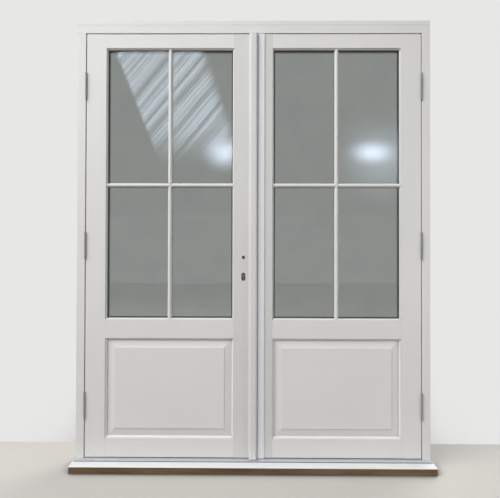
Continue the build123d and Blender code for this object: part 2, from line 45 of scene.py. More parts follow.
# The photograph's camera, solved from the frame's corners and the glazing lines,
# with its turns in degrees
IMAGE_WIDTH = 500
IMAGE_HEIGHT = 498
FOCAL_PX = 501
SENSOR_MM = 36
CAMERA_PLACE = (0.0041, -2.5369, 1.0747)
CAMERA_YAW = -0.442
CAMERA_PITCH = 0.616
CAMERA_ROLL = 0.154

# Wall behind the doors, a glowing sheet with painted shade near them and a darker painted
# shade where it is seen through glass
WALL_Y = 0.33
WALL_HALF_WIDTH = 6
WALL_HEIGHT = 5
WALL_COLOUR = (0.80, 0.80, 0.79)
WALL_SHADE_THROUGH_GLASS = (0.315, 0.315, 0.315)
WALL_SHADE_REACH = 0.9
WALL_SHADE_SAMPLES = 16
WALL_SHADE_START = 0.08
WALL_SHADE_END = 0.46
WALL_SHADE_TINT = 0.15

# Floor, lifted a little for the camera, with painted shade close to the doors, and giving
# less light back to the doors
FLOOR_HALF_WIDTH = 16
FLOOR_DROP = 0.0005
FLOOR_COLOUR = (0.50, 0.48, 0.45)
FLOOR_BOUNCE = (0.15, 0.13, 0.11)
FLOOR_LIFT = 0.22
FLOOR_ROUGHNESS = 0.7
FLOOR_CLOUD = (1.7, 5.0)
FLOOR_CLOUD_RAMP = (0.35, 0.65)
FLOOR_CLOUD_TINT = 0.96
FLOOR_SHADE_REACH = 0.12
FLOOR_SHADE_SAMPLES = 8
FLOOR_SHADE_RAMP = (0.5, 0.85)
FLOOR_SHADE_TINT = 0.25

# World, with one tone for the camera, one through glass and a soft light for the rest
SKY_COLOUR = (0.80, 0.80, 0.79)
SKY_THROUGH_GLASS = (0.50, 0.50, 0.50)
AMBIENT_LOW = (0.235, 0.235, 0.235)
AMBIENT_HIGH = (0.305, 0.308, 0.317)
AMBIENT_RAMP = (-0.05, 1.0)

# Lamps, each with its place, what it aims at, size, watts, colour and spread in degrees
DOORS_MIDDLE = (0, 0, 1.1)
LAMPS = {
    "key": ((-4.3, -3.8, 5.3), DOORS_MIDDLE, (6.0, 4.6), 530, (1.0, 1.0, 0.995), 180),
    "back_key": ((4.8, 6.8, 5.0), DOORS_MIDDLE, (6.8, 5.2), 600, (1.0, 1.0, 0.995), 180),
    "low_fill": ((3.3, -2.0, 1.05), (0.6, 0, 0.7), (1.6, 0.9), 7.6, (1.0, 0.995, 0.98), 90),
}

# Card that shows in reflections alone, laid out in the photograph's pixels and mirrored
# in the outer face of the glass
CARD_Y = -6
CARD_LEFT = 100
CARD_RIGHT = 412
CARD_TOP = 40
CARD_FOOT = 215
CARD_COLOUR = (0.72, 0.84, 1.0)
GLASS_FRONT = 0.018

# Edges of the lit roof on the card, each with its slopes across and down, offset and softness
ROOF_EDGES = (
    (1, -0.40, -92, 5),
    (-1, 0.35, 190, 14),
    (0, -1, 166, 45),
)

# Brightness of the lit roof, and its streaks, each with its offset, density and ramp
ROOF_STRENGTH = 8.6
STREAK_SLOPES = (0.766, 0.643)
STREAK_DETAIL = 1
ROOF_STREAKS = (
    (0, 0.55, (0.36, 0.5, 0.45, 1.0)),
    (40, 0.11, (0.38, 0.55, 0.35, 1.0)),
)

# Glare spots on the card, each with its middle across and down, half sizes and strength
GLARE_SPOTS = (
    (224, 152, 30, 26, 16.5),
    (372, 152, 35, 18, 15.5),
    (380, 158, 62, 56, 5.2),
)
GLARE_FALL = 1.6

# Directions of grain, as the scale of a pattern along each axis, where less is longer
UPRIGHT = (1, 1, 0.05)
ACROSS = (0.05, 1, 1)
EVEN = (1, 1, 1)

# Paint, with soft clouds, brush marks along the grain and a sprayed skin
PAINT_ROUGHNESS = 0.42
PAINT_CLOUD = (2.6, 2.0)
PAINT_CLOUD_RAMP = (0.3, 0.7)
PAINT_CLOUD_DARK = 0.975
PAINT_CLOUD_LIGHT = 1.012
PAINT_BRUSH = (190, 4.0, 0.6)
PAINT_BRUSH_BUMP = (0.22, 0.0004)
PAINT_GLOSS_RAMP = (0.3, 0.7, 0.36, 0.5)
PAINT_SPRAY = (1300, 2.0)
PAINT_SPRAY_BUMP = (0.12, 0.0002)

# Speckled, darker and warmer tone on the lowest part of the paint
LOW_TONE_HEIGHT_RAMP = (0.42, 0.05)
LOW_TONE_SPECKLE_RAMP = (0.35, 0.75, 0.1, 0.32)
LOW_TONE_TINTS = (0.97, 0.94, 0.88)

# Hairlines in the paint, by the distance from where two timbers meet
JOINT_LINE_RAMP = (0.0009, 0.0002, 0, 0.55)
JOINT_LINE_TINT = 0.35
LEVEL_LINE_RAMP = (0.0014, 0.0004, 0, 0.4)
LEVEL_LINE_TINT = 0.4
PACKER_FOOT = 2.242

# Painted shade in the paint's crevices, and how strong it is on each kind of piece
CREVICE_REACH = 0.012
CREVICE_SAMPLES = 8
CREVICE_OPEN = 0.9
CREVICE_DEEP = 0.35
CREVICE_SHADE_TINT = 0.3
MOULDING_CREVICE_SHADE = 0.75
PANEL_MOULDING_CREVICE_SHADE = 0.85
BAR_CREVICE_SHADE = 0.95

# Bare timber inside the lock's holes, darker than bare timber as painted shade, with the
# slot's middle below the spindle
SPINDLE_HOLE_RADIUS = 0.008
CYLINDER_DROP = 0.0982
CYLINDER_SLOT_WIDTH = 0.020
CYLINDER_SLOT_HEIGHT = 0.040
HOLE_RIM = 0.0004
CUT_TIMBER_AND_SHADE = (0.085, 0.058, 0.036)

# Whites of the painted pieces, with a lighter copy as painted highlight on the panel
# mouldings and darker copies as painted shade on the astragal and meeting stiles
WHITE = (0.80, 0.796, 0.783)
PACKER_WHITE = (0.80, 0.805, 0.80)
SILL_COVER_WHITE = (0.86, 0.87, 0.885)
STRIP_WHITE = (0.87, 0.875, 0.918)
PANEL_MOULDING_HIGHLIGHT = 1.085
ASTRAGAL_SHADE = 0.93
LOCK_STILE_SHADE = 0.90
MEETING_STILE_SHADE = 0.88

# Bare hardwood of the sill, with its figure, pores and weathered patches
WOOD_DARK = (0.105, 0.062, 0.034)
WOOD_LIGHT = (0.205, 0.135, 0.078)
WOOD_WEATHERED = (0.24, 0.175, 0.12)
WOOD_ROUGHNESS = 0.62
WOOD_FIGURE = (62, 5.0, 0.62)
WOOD_FIGURE_STRETCH = (0.045, 1, 1)
WOOD_FIGURE_RAMP = (0.34, 0.66)
WOOD_PORES = (620, 2.0)
WOOD_PORES_STRETCH = (0.03, 1, 1)
WOOD_PORES_RAMP = (0.62, 0.74, 0, 0.55)
WOOD_PORES_TINT = 0.55
WOOD_PORES_BUMP = (0.35, 0.0006)
WOOD_PATCHES = (9, 3.0)
WOOD_PATCHES_STRETCH = (0.4, 1, 1)
WOOD_PATCHES_RAMP = (0.5, 0.72, 0, 0.35)
WOOD_GLOSS_RAMP = (0.3, 0.7, 0.55, 0.75)

# Drawn metal, with fine lines and stains, and a painted dark reflection on the threshold's
# front edge
METAL_LINES = (900, 3.0, 0.65)
METAL_LINES_RAMP = (0.3, 0.7)
METAL_LINES_DEPTH = 0.12
METAL_LINES_BUMP = (0.15, 0.0001)
METAL_STAINS = (21, 3.0)
METAL_STAINS_RAMP = (0.55, 0.8, 0, 0.3)
METAL_STAINS_TINT = 0.8
METAL_GLOSS_LOW = 0.85
METAL_GLOSS_HIGH = 1.25
THRESHOLD_STRETCH = (0.02, 1, 1)
THRESHOLD_FRONT = -0.032
DARK_REFLECTION_START = 0.0012
DARK_REFLECTION_END = 0.0003
DARK_REFLECTION_TINT = 0.3

# Metals, each with its colour, roughness and how metallic it is
THRESHOLD_ALUMINIUM = ((0.76, 0.775, 0.85), 0.42, 0.6)
HINGE_STEEL = ((0.52, 0.515, 0.505), 0.42, 0.85)
LOCK_STEEL = ((0.50, 0.50, 0.50), 0.40, 1.0)
# The lock case is near-black, a painted shade for the dark inside of the lock's holes
CASE_STEEL_SHADE = ((0.022, 0.022, 0.02), 0.65, 0.2)
BOLT_STEEL = ((0.58, 0.57, 0.55), 0.30, 1.0)
SPACER_ALUMINIUM = ((0.60, 0.60, 0.60), 0.5, 1.0)

# Rubber, plastic and sealant, each with its colour and roughness
SEAL_RUBBER = ((0.42, 0.42, 0.41), 0.6)
BLOCK_PLASTIC = ((0.05, 0.05, 0.05), 0.5)
GLAZING_SEALANT = ((0.15, 0.15, 0.145), 0.5)
MOULDED_SKIN = (420, 3.0)
MOULDED_SKIN_RAMP = (0.3, 0.7)
MOULDED_SKIN_BUMP = (0.2, 0.0002)
MOULDED_MARKS = (30, 3.0)
MOULDED_MARKS_RAMP = (0.4, 0.75)
MOULDED_MARKS_TINT = 1.25
MOULDED_GLOSS_SPREAD = 0.08

# Float glass, with faint smears and a slight sway that bends its reflections
GLASS_CLEAN = (0.885, 0.91, 0.89)
GLASS_SMEARED = (0.86, 0.885, 0.868)
GLASS_SHADOW = (0.8, 0.83, 0.81)
GLASS_IOR = 1.5
GLASS_SMEARS = (7, 4.0)
GLASS_SMEARS_RAMP = (0.42, 0.75)
GLASS_SWAY = (2.4, 1.0)
GLASS_SWAY_BUMP = (0.12, 0.004)

# Hinge screws, three to each plate, on the three hinges of a side
SCREW_HEAD_RADIUS = 0.004
SCREW_HEAD_STEPS = 24
SCREW_DOME = 0.0003
SCREW_RECESS_DEPTH = 0.0012
SCREW_RECESS_ARM = 0.0022
SCREW_RECESS_HALF = 0.0005
SCREW_RECESS_TAPER = 0.6
HINGE_HEIGHT = 0.137
HINGE_SCREW_SPREAD = 0.048
HINGE_SCREW_FRONT = 0.014
HINGE_SCREW_BACK = 0.027
PLATE_THICKNESS = 0.0025

# Sealant line where the glass meets its mouldings
SEALANT_WIDTH = 0.0030
SEALANT_RISE = 0.0009
SEALANT_SHOULDER = 0.6
GLAZING_MOULDING_WIDTH = 0.007

# The mix node gives several sockets one name, so its colours go by number
MIX_COLOURS_IN = (6, 7)
MIX_COLOUR_OUT = 2


# Node tools


def new_material(name, colour, roughness, metallic=0.0):
    material = bpy.data.materials.new(name)
    material.use_nodes = True
    shader = material.node_tree.nodes["Principled BSDF"]
    shader.inputs["Base Color"].default_value = (*colour, 1)
    shader.inputs["Roughness"].default_value = roughness
    shader.inputs["Metallic"].default_value = metallic
    return material, material.node_tree, shader


def place(tree, stretch=EVEN):
    coords = tree.nodes.new("ShaderNodeTexCoord")
    mapping = tree.nodes.new("ShaderNodeMapping")
    mapping.inputs["Scale"].default_value = stretch
    tree.links.new(coords.outputs["Object"], mapping.inputs["Vector"])
    return mapping.outputs["Vector"]


def split(tree, space="Object"):
    coords = tree.nodes.new("ShaderNodeTexCoord")
    parts = tree.nodes.new("ShaderNodeSeparateXYZ")
    tree.links.new(coords.outputs[space], parts.inputs["Vector"])
    return parts.outputs


def noise(tree, vector, scale, detail, roughness=0.5):
    node = tree.nodes.new("ShaderNodeTexNoise")
    node.inputs["Scale"].default_value = scale
    node.inputs["Detail"].default_value = detail
    node.inputs["Roughness"].default_value = roughness
    tree.links.new(vector, node.inputs["Vector"])
    return node.outputs["Fac"]


def noise_along(tree, value, scale):
    node = tree.nodes.new("ShaderNodeTexNoise")
    node.noise_dimensions = "1D"
    node.inputs["Scale"].default_value = scale
    node.inputs["Detail"].default_value = STREAK_DETAIL
    tree.links.new(value, node.inputs["W"])
    return node.outputs["Fac"]


def ramp(tree, factor, low, high, start=0.0, end=1.0):
    node = tree.nodes.new("ShaderNodeMapRange")
    node.inputs["From Min"].default_value = low
    node.inputs["From Max"].default_value = high
    node.inputs["To Min"].default_value = start
    node.inputs["To Max"].default_value = end
    tree.links.new(factor, node.inputs["Value"])
    return node.outputs["Result"]


def smooth_step(tree, value, low, high):
    node = tree.nodes.new("ShaderNodeMapRange")
    node.interpolation_type = "SMOOTHSTEP"
    node.inputs["From Min"].default_value = low
    node.inputs["From Max"].default_value = high
    tree.links.new(value, node.inputs["Value"])
    return node.outputs["Result"]


def math_node(tree, operation, first, second=0):
    node = tree.nodes.new("ShaderNodeMath")
    node.operation = operation
    for socket, value in zip(node.inputs, (first, second)):
        if isinstance(value, (int, float)):
            socket.default_value = value
        else:
            tree.links.new(value, socket)
    return node.outputs["Value"]


def product(tree, first, *others):
    for other in others:
        first = math_node(tree, "MULTIPLY", first, other)
    return first


def distance(tree, value, level):
    return math_node(tree, "ABSOLUTE", math_node(tree, "SUBTRACT", value, level))


def openness(tree, reach, samples):
    node = tree.nodes.new("ShaderNodeAmbientOcclusion")
    node.samples = samples
    node.inputs["Distance"].default_value = reach
    return node.outputs["AO"]


def blend_colours(tree, factor, first, second):
    node = tree.nodes.new("ShaderNodeMix")
    node.data_type = "RGBA"
    tree.links.new(factor, node.inputs["Factor"])
    for number, value in zip(MIX_COLOURS_IN, (first, second)):
        if isinstance(value, tuple):
            node.inputs[number].default_value = (*value, 1)
        else:
            tree.links.new(value, node.inputs[number])
    return node.outputs[MIX_COLOUR_OUT]


def bump(tree, height, strength, depth, normal=None):
    node = tree.nodes.new("ShaderNodeBump")
    node.inputs["Strength"].default_value = strength
    node.inputs["Distance"].default_value = depth
    tree.links.new(height, node.inputs["Height"])
    if normal is not None:
        tree.links.new(normal, node.inputs["Normal"])
    return node.outputs["Normal"]


def show_blend(tree, factor, first, second):
    mix = tree.nodes.new("ShaderNodeMixShader")
    tree.links.new(factor, mix.inputs["Fac"])
    tree.links.new(first, mix.inputs[1])
    tree.links.new(second, mix.inputs[2])
    tree.links.new(mix.outputs["Shader"], tree.nodes["Material Output"].inputs["Surface"])


def scaled(colour, factor):
    return tuple(channel * factor for channel in colour)


# Materials


def painted_timber(name, colour, grain, joints=(), levels=(), crevice_shade=0.0, holes=()):
    material, tree, shader = new_material(name, colour, PAINT_ROUGHNESS)
    cloud = noise(tree, place(tree), *PAINT_CLOUD)
    brushed = noise(tree, place(tree, grain), *PAINT_BRUSH)
    sprayed = noise(tree, place(tree), *PAINT_SPRAY)
    dark, light = scaled(colour, PAINT_CLOUD_DARK), scaled(colour, PAINT_CLOUD_LIGHT)
    paint = blend_colours(tree, ramp(tree, cloud, *PAINT_CLOUD_RAMP), dark, light)
    # Darker, warmer speckles towards the bottom of each piece
    low_part = ramp(tree, split(tree)["Z"], *LOW_TONE_HEIGHT_RAMP)
    speckled = product(tree, low_part, ramp(tree, brushed, *LOW_TONE_SPECKLE_RAMP))
    low_tone = tuple(channel * tint for channel, tint in zip(colour, LOW_TONE_TINTS))
    paint = blend_colours(tree, speckled, paint, low_tone)
    for joint in joints:
        apart = distance(tree, math_node(tree, "ABSOLUTE", split(tree)["X"]), joint)
        near = ramp(tree, apart, *JOINT_LINE_RAMP)
        paint = blend_colours(tree, near, paint, scaled(colour, JOINT_LINE_TINT))
    for level in levels:
        near = ramp(tree, distance(tree, split(tree)["Z"], level), *LEVEL_LINE_RAMP)
        paint = blend_colours(tree, near, paint, scaled(colour, LEVEL_LINE_TINT))
    # Bare timber in the lock's holes, dark enough to be painted shade as well
    for hole in holes:
        paint = blend_colours(tree, inside_hole(tree, *hole), paint, CUT_TIMBER_AND_SHADE)
    # Painted shade: the paint darkens where the surface is closed in, in crevices and quirks
    if crevice_shade:
        nearby = openness(tree, CREVICE_REACH, CREVICE_SAMPLES)
        shade_mask = ramp(tree, nearby, CREVICE_OPEN, CREVICE_DEEP, 0, crevice_shade)
        paint = blend_colours(tree, shade_mask, paint, scaled(colour, CREVICE_SHADE_TINT))
    tree.links.new(paint, shader.inputs["Base Color"])
    tree.links.new(ramp(tree, brushed, *PAINT_GLOSS_RAMP), shader.inputs["Roughness"])
    fine = bump(tree, sprayed, *PAINT_SPRAY_BUMP)
    tree.links.new(bump(tree, brushed, *PAINT_BRUSH_BUMP, fine), shader.inputs["Normal"])
    return material


def inside_hole(tree, across, up, half_width, half_height):
    aside = distance(tree, split(tree)["X"], across)
    above = distance(tree, split(tree)["Z"], up)
    past = math_node(tree, "SUBTRACT", above, half_height - half_width)
    past = math_node(tree, "MAXIMUM", past, 0)
    squares = [math_node(tree, "MULTIPLY", way, way) for way in (aside, past)]
    away = math_node(tree, "SQRT", math_node(tree, "ADD", *squares))
    return ramp(tree, away, half_width + HOLE_RIM, half_width + HOLE_RIM / 2)


def bare_hardwood(name):
    material, tree, shader = new_material(name, WOOD_LIGHT, WOOD_ROUGHNESS)
    figure = noise(tree, place(tree, WOOD_FIGURE_STRETCH), *WOOD_FIGURE)
    pores = noise(tree, place(tree, WOOD_PORES_STRETCH), *WOOD_PORES)
    patches = noise(tree, place(tree, WOOD_PATCHES_STRETCH), *WOOD_PATCHES)
    wood = blend_colours(tree, ramp(tree, figure, *WOOD_FIGURE_RAMP), WOOD_DARK, WOOD_LIGHT)
    pore_tone = scaled(WOOD_DARK, WOOD_PORES_TINT)
    wood = blend_colours(tree, ramp(tree, pores, *WOOD_PORES_RAMP), wood, pore_tone)
    wood = blend_colours(tree, ramp(tree, patches, *WOOD_PATCHES_RAMP), wood, WOOD_WEATHERED)
    tree.links.new(wood, shader.inputs["Base Color"])
    tree.links.new(ramp(tree, pores, *WOOD_GLOSS_RAMP), shader.inputs["Roughness"])
    tree.links.new(bump(tree, pores, *WOOD_PORES_BUMP), shader.inputs["Normal"])
    return material


def drawn_metal(name, finish, grain, reflection_front=None):
    colour, roughness, metallic = finish
    material, tree, shader = new_material(name, colour, roughness, metallic)
    lines = noise(tree, place(tree, grain), *METAL_LINES)
    stains = noise(tree, place(tree), *METAL_STAINS)
    lined = scaled(colour, 1 - METAL_LINES_DEPTH)
    metal = blend_colours(tree, ramp(tree, lines, *METAL_LINES_RAMP), lined, colour)
    stained = scaled(colour, METAL_STAINS_TINT)
    metal = blend_colours(tree, ramp(tree, stains, *METAL_STAINS_RAMP), metal, stained)
    # Painted reflection: the threshold's front edge is darkened, for the dark surroundings it
    # faces
    if reflection_front is not None:
        start, end = reflection_front + DARK_REFLECTION_START, reflection_front + DARK_REFLECTION_END
        edge = ramp(tree, split(tree)["Y"], start, end)
        metal = blend_colours(tree, edge, metal, scaled(colour, DARK_REFLECTION_TINT))
    tree.links.new(metal, shader.inputs["Base Color"])
    low, high = roughness * METAL_GLOSS_LOW, min(1.0, roughness * METAL_GLOSS_HIGH)
    gloss = ramp(tree, lines, *METAL_LINES_RAMP, low, high)
    tree.links.new(gloss, shader.inputs["Roughness"])
    tree.links.new(bump(tree, lines, *METAL_LINES_BUMP), shader.inputs["Normal"])
    return material


def moulded(name, finish):
    colour, roughness = finish
    material, tree, shader = new_material(name, colour, roughness)
    skin = noise(tree, place(tree), *MOULDED_SKIN)
    marks = noise(tree, place(tree), *MOULDED_MARKS)
    marked = scaled(colour, MOULDED_MARKS_TINT)
    tint = blend_colours(tree, ramp(tree, marks, *MOULDED_MARKS_RAMP), colour, marked)
    tree.links.new(tint, shader.inputs["Base Color"])
    low, high = roughness - MOULDED_GLOSS_SPREAD, roughness + MOULDED_GLOSS_SPREAD
    gloss = ramp(tree, skin, *MOULDED_SKIN_RAMP, low, high)
    tree.links.new(gloss, shader.inputs["Roughness"])
    tree.links.new(bump(tree, skin, *MOULDED_SKIN_BUMP), shader.inputs["Normal"])
    return material


def float_glass(name):
    material, tree, shader = new_material(name, GLASS_CLEAN, 0.0)
    shader.inputs["Transmission Weight"].default_value = 1.0
    shader.inputs["IOR"].default_value = GLASS_IOR
    smears = noise(tree, place(tree), *GLASS_SMEARS)
    smeared = ramp(tree, smears, *GLASS_SMEARS_RAMP)
    tint = blend_colours(tree, smeared, GLASS_CLEAN, GLASS_SMEARED)
    tree.links.new(tint, shader.inputs["Base Color"])
    sway = noise(tree, place(tree), *GLASS_SWAY)
    tree.links.new(bump(tree, sway, *GLASS_SWAY_BUMP), shader.inputs["Normal"])
    clear = tree.nodes.new("ShaderNodeBsdfTransparent")
    clear.inputs["Color"].default_value = (*GLASS_SHADOW, 1)
    rays = tree.nodes.new("ShaderNodeLightPath").outputs
    passes = math_node(tree, "MAXIMUM", rays["Is Shadow Ray"], rays["Is Diffuse Ray"])
    show_blend(tree, passes, shader.outputs["BSDF"], clear.outputs["BSDF"])
    return material


inner_low, inner_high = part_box("passive_panel_mouldings")
rail_ends = (inner_low.x, inner_high.x)
hub_low, hub_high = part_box("spindle_hub")
hub = (hub_low + hub_high) / 2
lock_holes = (
    (hub.x, hub.z, SPINDLE_HOLE_RADIUS, SPINDLE_HOLE_RADIUS),
    (hub.x, hub.z - CYLINDER_DROP, CYLINDER_SLOT_WIDTH / 2, CYLINDER_SLOT_HEIGHT / 2),
)
# Lighter white as painted highlight on the panel mouldings, darker whites as painted shade on
# the meeting stiles and astragal
panel_highlight_white = scaled(WHITE, PANEL_MOULDING_HIGHLIGHT)
meeting_shade_white = scaled(WHITE, MEETING_STILE_SHADE)
lock_shade_white = scaled(WHITE, LOCK_STILE_SHADE)
astragal_shade_white = scaled(WHITE, ASTRAGAL_SHADE)

upright_paint = painted_timber("paint_upright", WHITE, UPRIGHT)
rail_paint = painted_timber("paint_rails", WHITE, ACROSS, joints=rail_ends)
even_paint = painted_timber("paint_mouldings", WHITE, EVEN, crevice_shade=MOULDING_CREVICE_SHADE)
crest_highlight_and_shade_paint = painted_timber(
    "paint_panel_mouldings_highlight", panel_highlight_white, EVEN, crevice_shade=PANEL_MOULDING_CREVICE_SHADE
)
bar_paint = painted_timber("paint_bars", WHITE, EVEN, crevice_shade=BAR_CREVICE_SHADE)
meeting_shade_paint = painted_timber("paint_meeting_shade", meeting_shade_white, UPRIGHT)
astragal_shade_paint = painted_timber("paint_astragal_shade", astragal_shade_white, UPRIGHT)
lock_stile_shade_paint = painted_timber("paint_lock_stile_shade", lock_shade_white, UPRIGHT, holes=lock_holes)
packer_paint = painted_timber("paint_packer", PACKER_WHITE, ACROSS, levels=(PACKER_FOOT,))
head_paint = painted_timber("paint_head", WHITE, ACROSS, levels=(PACKER_FOOT,))
cover_paint = painted_timber("paint_sill_cover", SILL_COVER_WHITE, ACROSS)
strip_paint = painted_timber("paint_strip", STRIP_WHITE, UPRIGHT)
sill_wood = bare_hardwood("sill_hardwood")
threshold_metal = drawn_metal(
    "threshold_aluminium", THRESHOLD_ALUMINIUM, THRESHOLD_STRETCH, reflection_front=THRESHOLD_FRONT
)
hinge_metal = drawn_metal("hinge_steel", HINGE_STEEL, UPRIGHT)
lock_metal = drawn_metal("lock_steel", LOCK_STEEL, UPRIGHT)
shaded_case_metal = drawn_metal("case_steel_shade", CASE_STEEL_SHADE, UPRIGHT)
bolt_metal = drawn_metal("bolt_steel", BOLT_STEEL, UPRIGHT)
spacer_metal = drawn_metal("spacer_aluminium", SPACER_ALUMINIUM, EVEN)
seal_rubber = moulded("seal_rubber", SEAL_RUBBER)
block_plastic = moulded("block_plastic", BLOCK_PLASTIC)
sealant = moulded("glazing_gasket", GLAZING_SEALANT)
pane_glass = float_glass("pane_glass")

finish_by_node = {
    "sill": sill_wood,
    "sill_cover": cover_paint,
    "threshold": threshold_metal,
    "head_packer": packer_paint,
    "frame_head": head_paint,
    "frame_seals": seal_rubber,
    "hinge_pins": hinge_metal,
    "meeting_strip": strip_paint,
    "active_meeting_stile": lock_stile_shade_paint,
    "passive_meeting_stile": meeting_shade_paint,
    "astragal": astragal_shade_paint,
    "deadbolt": bolt_metal,
    "lock_case": shaded_case_metal,
    "spindle_hub": shaded_case_metal,
    "lock_faceplate": lock_metal,
    "strike_plate": lock_metal,
    "flush_bolt_plates": lock_metal,
    "bolt_keeps": lock_metal,
}
finish_by_ending = {
    "_rail": rail_paint,
    "_panel": upright_paint,
    "_pane": pane_glass,
    "_glass_spacer": spacer_metal,
    "_glazing_blocks": block_plastic,
    "_hinge_plates": hinge_metal,
    "_rod": bolt_metal,
    "_bolt": bolt_metal,
    "_mouldings": crest_highlight_and_shade_paint,
    "_moulding": even_paint,
    "_beads": even_paint,
    "_bars": bar_paint,
}


def finish_for(node):
    if node in finish_by_node:
        return finish_by_node[node]
    for ending, material in finish_by_ending.items():
        if node.endswith(ending):
            return material
    return upright_paint


for node_name, node_object in nodes.items():
    for material_slot in node_object.material_slots:
        material_slot.material = finish_for(node_name)


# Pieces made here


def new_object(name, mesh, material):
    data = bpy.data.meshes.new(name)
    mesh.to_mesh(data)
    mesh.free()
    data.materials.append(material)
    piece = bpy.data.objects.new(name, data)
    bpy.context.scene.collection.objects.link(piece)
    return piece


def mesh_piece(name, mesh, material, body):
    bmesh.ops.recalc_face_normals(mesh, faces=mesh.faces)
    piece = new_object(name, mesh, material)
    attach(piece, body)


def join_rings(mesh, lower, upper):
    for step in range(len(lower)):
        after = (step + 1) % len(lower)
        mesh.faces.new((lower[step], lower[after], upper[after], upper[step]))


def recess_outline():
    arm, half = SCREW_RECESS_ARM, SCREW_RECESS_HALF
    corner = [(arm, -half), (arm, half), (half, half)]
    turns = [(1, 0, 0, 1), (0, -1, 1, 0), (-1, 0, 0, -1), (0, 1, -1, 0)]
    return [(a * x + b * y, c * x + d * y) for a, b, c, d in turns for x, y in corner]


def add_screw_head(mesh, centre, facing):
    out = Vector(facing).normalized()
    side = out.orthogonal().normalized()
    up = out.cross(side)

    def vertex(across, along, rise):
        return mesh.verts.new(centre + side * across + up * along + out * rise)

    angles = [2 * math.pi * step / SCREW_HEAD_STEPS for step in range(SCREW_HEAD_STEPS)]
    radius, taper = SCREW_HEAD_RADIUS, SCREW_RECESS_TAPER
    circle = [(radius * math.cos(angle), radius * math.sin(angle)) for angle in angles]
    foot = [vertex(x, y, -SCREW_DOME) for x, y in circle]
    rim = [vertex(x, y, SCREW_DOME / 3) for x, y in circle]
    mouth = [vertex(x, y, SCREW_DOME) for x, y in recess_outline()]
    floor = [vertex(taper * x, taper * y, -SCREW_RECESS_DEPTH) for x, y in recess_outline()]
    join_rings(mesh, foot, rim)
    join_rings(mesh, mouth, floor)
    mesh.faces.new(floor)
    edges = []
    for ring in (rim, mouth):
        for step, vert in enumerate(ring):
            after = ring[(step + 1) % len(ring)]
            edges.append(mesh.edges.get((vert, after)) or mesh.edges.new((vert, after)))
    bmesh.ops.triangle_fill(mesh, use_beauty=True, edges=edges)


def frame_plate_face(low, high, side):
    embedded = high.x if side > 0 else low.x
    return embedded - side * PLATE_THICKNESS, (-side, 0, 0)


def leaf_plate_face(low, high, side):
    embedded = low.x if side > 0 else high.x
    return embedded + side * PLATE_THICKNESS, (side, 0, 0)


def hinge_screws(name, plates, body, plate_face):
    leaf_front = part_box("active_top_rail")[0].y
    row = ((-1, HINGE_SCREW_BACK), (0, HINGE_SCREW_FRONT), (1, HINGE_SCREW_BACK))
    mesh = bmesh.new()
    for plate in plates:
        low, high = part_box(plate)
        face_x, facing = plate_face(low, high, math.copysign(1, low.x))
        first = low.z + HINGE_HEIGHT / 2
        last = high.z - HINGE_HEIGHT / 2
        for middle in (first, (first + last) / 2, last):
            for rise, depth in row:
                height = middle + rise * HINGE_SCREW_SPREAD
                add_screw_head(mesh, Vector((face_x, leaf_front + depth, height)), facing)
    mesh_piece(name, mesh, hinge_metal, body)


def sealant_ring(name, moulding, pane, body, out):
    low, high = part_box(moulding)
    pane_low, pane_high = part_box(pane)
    glass_y = pane_low.y if out < 0 else pane_high.y
    edge = GLAZING_MOULDING_WIDTH
    mesh = bmesh.new()

    def loop(inset, y):
        left, right = low.x + inset, high.x - inset
        foot, top = low.z + inset, high.z - inset
        corners = ((left, foot), (right, foot), (right, top), (left, top))
        return [mesh.verts.new((x, y, z)) for x, z in corners]

    shoulder = glass_y + out * SEALANT_RISE * SEALANT_SHOULDER
    rings = [
        loop(edge, glass_y + out * SEALANT_RISE),
        loop(edge + SEALANT_WIDTH * SEALANT_SHOULDER, shoulder),
        loop(edge + SEALANT_WIDTH, glass_y),
        loop(edge - SEALANT_WIDTH / 2, glass_y),
    ]
    for ring, following in zip(rings, rings[1:] + rings[:1]):
        join_rings(mesh, ring, following)
    mesh_piece(name, mesh, sealant, body)


jamb_plates = ("left_jamb_hinge_plates", "right_jamb_hinge_plates")
hinge_screws("frame_hinge_screws", jamb_plates, "frame", frame_plate_face)
for leaf in ("active", "passive"):
    plates = (f"{leaf}_hinge_plates",)
    hinge_screws(f"{leaf}_hinge_screws", plates, f"{leaf}_leaf", leaf_plate_face)

for leaf in ("active", "passive"):
    for side, trim, out in (("outer", "moulding", -1), ("inner", "beads", 1)):
        sealant_ring(
            f"{leaf}_{side}_sealant",
            f"{leaf}_glazing_{trim}",
            f"{leaf}_{side}_pane",
            f"{leaf}_leaf",
            out,
        )


# Stage, lights and camera


def flat_piece(name, corners, material):
    mesh = bmesh.new()
    mesh.faces.new([mesh.verts.new(corner) for corner in corners])
    piece = new_object(name, mesh, material)
    return piece


def upright_corners(left, right, foot, top, y):
    return [(left, y, foot), (right, y, foot), (right, y, top), (left, y, top)]


def wall_finish():
    material = bpy.data.materials.new("stage_wall")
    material.use_nodes = True
    tree = material.node_tree
    glow = tree.nodes.new("ShaderNodeEmission")
    rays = tree.nodes.new("ShaderNodeLightPath").outputs
    # Painted shade on the glowing wall, darker where the doors close it in and darker again
    # through the glass
    nearby = openness(tree, WALL_SHADE_REACH, WALL_SHADE_SAMPLES)
    open_wall = smooth_step(tree, nearby, WALL_SHADE_START, WALL_SHADE_END)
    deep_shade = scaled(WALL_COLOUR, WALL_SHADE_TINT)
    plain = blend_colours(tree, open_wall, deep_shade, WALL_COLOUR)
    seen = blend_colours(tree, rays["Is Transmission Ray"], plain, WALL_SHADE_THROUGH_GLASS)
    tree.links.new(seen, glow.inputs["Color"])
    # The wall is clear from behind, so that the doors' back can be looked at
    clear = tree.nodes.new("ShaderNodeBsdfTransparent")
    behind = tree.nodes.new("ShaderNodeNewGeometry").outputs["Backfacing"]
    show_blend(tree, behind, glow.outputs["Emission"], clear.outputs["BSDF"])
    return material


